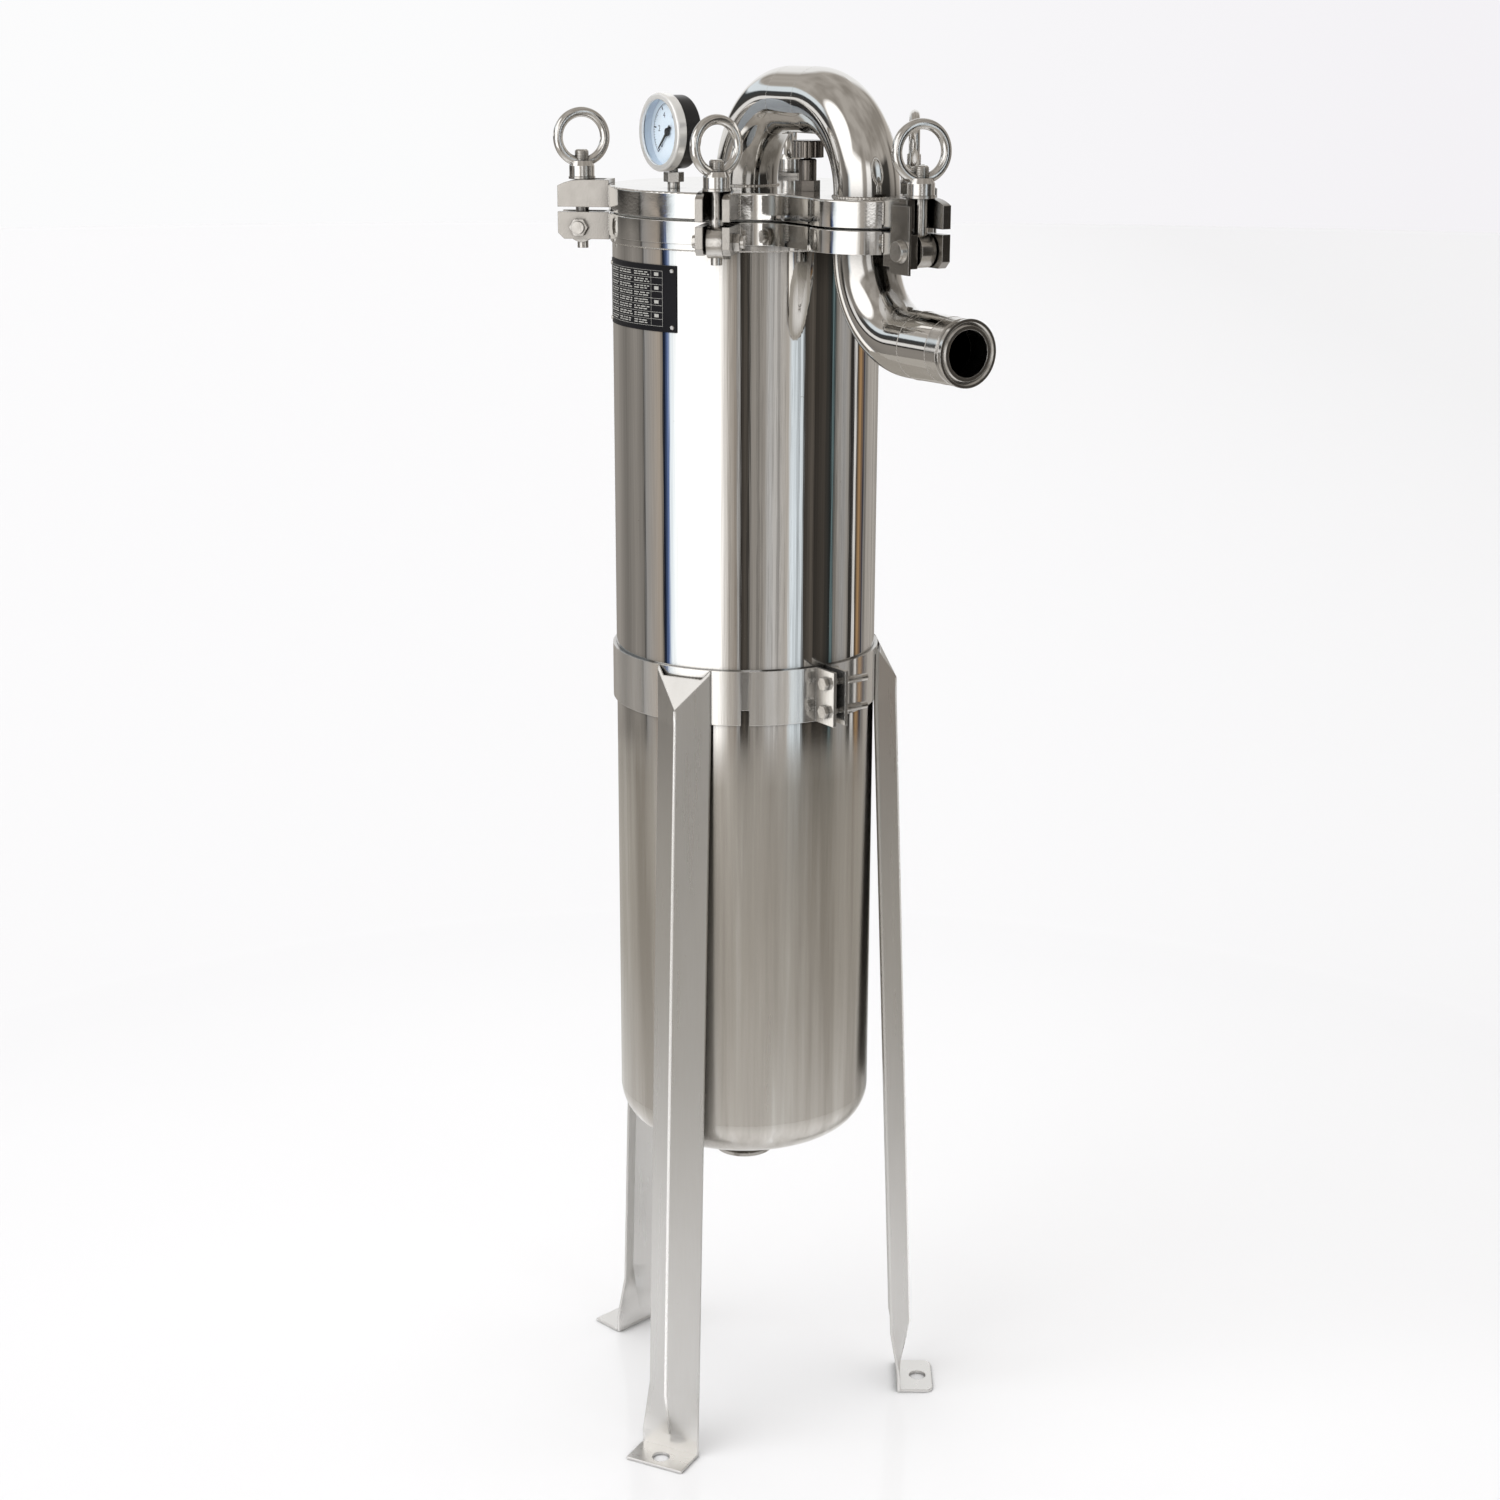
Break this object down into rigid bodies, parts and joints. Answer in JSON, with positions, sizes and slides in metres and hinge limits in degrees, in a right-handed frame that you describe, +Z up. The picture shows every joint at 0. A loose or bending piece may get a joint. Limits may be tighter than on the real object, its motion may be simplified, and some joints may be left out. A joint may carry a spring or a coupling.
{
  "type": "bag filter housing",
  "caption": "Upright stainless bag filter housing on folded sheet legs, with a swing-bolt lid, a crossover pipe to the inlet lobe, a pressure gauge and a vent valve.",
  "frame": {"origin": "on the vessel's axis, level with the undersides of the feet", "axes": "+Z up along the vessel's axis; -Y is the front, 32 degrees left of the inlet seen from above"},
  "size_m": [0.3401, 0.426, 1.1754],
  "materials": {
    "brushed_stainless": "brushed",
    "polished_stainless": "polished",
    "cast_stainless": "satin",
    "fastener_steel": "satin",
    "basket_sheet": "satin",
    "seal_rubber": "matt",
    "bag_felt": "felt",
    "bag_ring_plastic": "satin",
    "gauge_black": "satin",
    "dial_white": "matt",
    "gauge_window": "clear",
    "plate_black": "satin"
  },
  "bodies": {
    "vessel": {"bag_ring": "bag_ring_plastic", "band_bolts": "fastener_steel", "band_nuts": "fastener_steel", "body_flange": "polished_stainless", "body_lug_1": "cast_stainless", "body_lug_2": "cast_stainless", "body_lug_3": "cast_stainless", "body_lug_4": "cast_stainless", "body_lug_5": "cast_stainless", "bottom_head": "brushed_stainless", "closure_pins": "fastener_steel", "filter_bag": "bag_felt", "inlet_elbow": "polished_stainless", "inlet_ferrule": "polished_stainless", "inlet_reducer": "polished_stainless", "leg_front": "brushed_stainless", "leg_rear": "brushed_stainless", "leg_right": "brushed_stainless", "lid_seal": "seal_rubber", "locating_plate": "cast_stainless", "name_plate": "plate_black", "outlet_ferrule": "polished_stainless", "pin_nuts": "fastener_steel", "plate_rivets": "fastener_steel", "port_seal": "seal_rubber", "shell_tube": "brushed_stainless", "strainer_basket": "basket_sheet", "support_band": "brushed_stainless"},
    "lid": {"lid_plate": "polished_stainless", "crossover_elbow_centre": "polished_stainless", "crossover_elbow_lobe": "polished_stainless", "crossover_bridge": "polished_stainless", "lid_lug_1": "cast_stainless", "lid_lug_2": "cast_stainless", "lid_lug_3": "cast_stainless", "lid_lug_4": "cast_stainless", "lid_lug_5": "cast_stainless", "gauge_case": "gauge_black", "gauge_connector": "polished_stainless", "gauge_dial": "dial_white", "gauge_glass": "gauge_window", "gauge_bezel": "polished_stainless", "vent_body": "polished_stainless"},
    "gauge_pointer": {"gauge_pointer": "gauge_black"},
    "vent_knob": {"vent_knob": "polished_stainless"},
    "swing_bolt_1": {"swing_bolt_1": "fastener_steel"},
    "washer_1": {"washer_1": "fastener_steel"},
    "eye_nut_1": {"eye_nut_1": "cast_stainless"},
    "swing_bolt_2": {"swing_bolt_2": "fastener_steel"},
    "washer_2": {"washer_2": "fastener_steel"},
    "eye_nut_2": {"eye_nut_2": "cast_stainless"},
    "swing_bolt_3": {"swing_bolt_3": "fastener_steel"},
    "washer_3": {"washer_3": "fastener_steel"},
    "eye_nut_3": {"eye_nut_3": "cast_stainless"},
    "swing_bolt_4": {"swing_bolt_4": "fastener_steel"},
    "washer_4": {"washer_4": "fastener_steel"},
    "eye_nut_4": {"eye_nut_4": "cast_stainless"},
    "swing_bolt_5": {"swing_bolt_5": "fastener_steel"},
    "washer_5": {"washer_5": "fastener_steel"},
    "eye_nut_5": {"eye_nut_5": "cast_stainless"}
  },
  "joints": [
    {"name": "lid_lift", "type": "slide", "parent": "vessel", "child": "lid", "axis": [0, 0, 1], "range_m": [0, 0.3]},
    {"name": "bolt_swing_1", "type": "hinge", "parent": "vessel", "child": "swing_bolt_1", "pos_m": [-0.13468, 0.01893, 1.046], "axis": [0.1392, 0.9903, 0], "range_deg": [-100, 0]},
    {"name": "washer_rise_1", "type": "slide", "parent": "swing_bolt_1", "child": "washer_1", "axis": [0, 0, 1], "range_m": [0, 0.3]},
    {"name": "nut_turn_1", "type": "hinge", "parent": "washer_1", "child": "eye_nut_1", "pos_m": [-0.13468, 0.01893, 1.093], "axis": [0, 0, 1], "continuous": true},
    {"name": "bolt_swing_2", "type": "hinge", "parent": "vessel", "child": "swing_bolt_2", "pos_m": [-0.02292, -0.13406, 1.046], "axis": [-0.9857, 0.1685, 0], "range_deg": [-100, 0]},
    {"name": "washer_rise_2", "type": "slide", "parent": "swing_bolt_2", "child": "washer_2", "axis": [0, 0, 1], "range_m": [0, 0.3]},
    {"name": "nut_turn_2", "type": "hinge", "parent": "washer_2", "child": "eye_nut_2", "pos_m": [-0.02292, -0.13406, 1.093], "axis": [0, 0, 1], "continuous": true},
    {"name": "bolt_swing_3", "type": "hinge", "parent": "vessel", "child": "swing_bolt_3", "pos_m": [0.12798, -0.2048, 1.046], "axis": [-0.848, -0.5299, 0], "range_deg": [-90, 0]},
    {"name": "washer_rise_3", "type": "slide", "parent": "swing_bolt_3", "child": "washer_3", "axis": [0, 0, 1], "range_m": [0, 0.3]},
    {"name": "nut_turn_3", "type": "hinge", "parent": "washer_3", "child": "eye_nut_3", "pos_m": [0.12798, -0.2048, 1.093], "axis": [0, 0, 1], "continuous": true},
    {"name": "bolt_swing_4", "type": "hinge", "parent": "vessel", "child": "swing_bolt_4", "pos_m": [0.13393, -0.02362, 1.046], "axis": [-0.1736, -0.9848, 0], "range_deg": [-100, 0]},
    {"name": "washer_rise_4", "type": "slide", "parent": "swing_bolt_4", "child": "washer_4", "axis": [0, 0, 1], "range_m": [0, 0.3]},
    {"name": "nut_turn_4", "type": "hinge", "parent": "washer_4", "child": "eye_nut_4", "pos_m": [0.13393, -0.02362, 1.093], "axis": [0, 0, 1], "continuous": true},
    {"name": "bolt_swing_5", "type": "hinge", "parent": "vessel", "child": "swing_bolt_5", "pos_m": [0.03749, 0.13073, 1.046], "axis": [0.9613, -0.2756, 0], "range_deg": [-100, 0]},
    {"name": "washer_rise_5", "type": "slide", "parent": "swing_bolt_5", "child": "washer_5", "axis": [0, 0, 1], "range_m": [0, 0.3]},
    {"name": "nut_turn_5", "type": "hinge", "parent": "washer_5", "child": "eye_nut_5", "pos_m": [0.03749, 0.13073, 1.093], "axis": [0, 0, 1], "continuous": true},
    {"name": "pointer_turn", "type": "hinge", "parent": "lid", "child": "gauge_pointer", "pos_m": [-0.05774, -0.05019, 1.1243], "axis": [0.8387, 0.5446, 0], "range_deg": [0, 270]},
    {"name": "vent_turn", "type": "hinge", "parent": "lid", "child": "vent_knob", "pos_m": [0.04769, -0.07632, 1.112], "axis": [0, 0, 1], "range_deg": [0, 360]}
  ],
  "couplings": [
    {"joint": "washer_rise_1", "follows": "lid_lift", "ratio": 1},
    {"joint": "washer_rise_2", "follows": "lid_lift", "ratio": 1},
    {"joint": "washer_rise_3", "follows": "lid_lift", "ratio": 1},
    {"joint": "washer_rise_4", "follows": "lid_lift", "ratio": 1},
    {"joint": "washer_rise_5", "follows": "lid_lift", "ratio": 1}
  ]
}
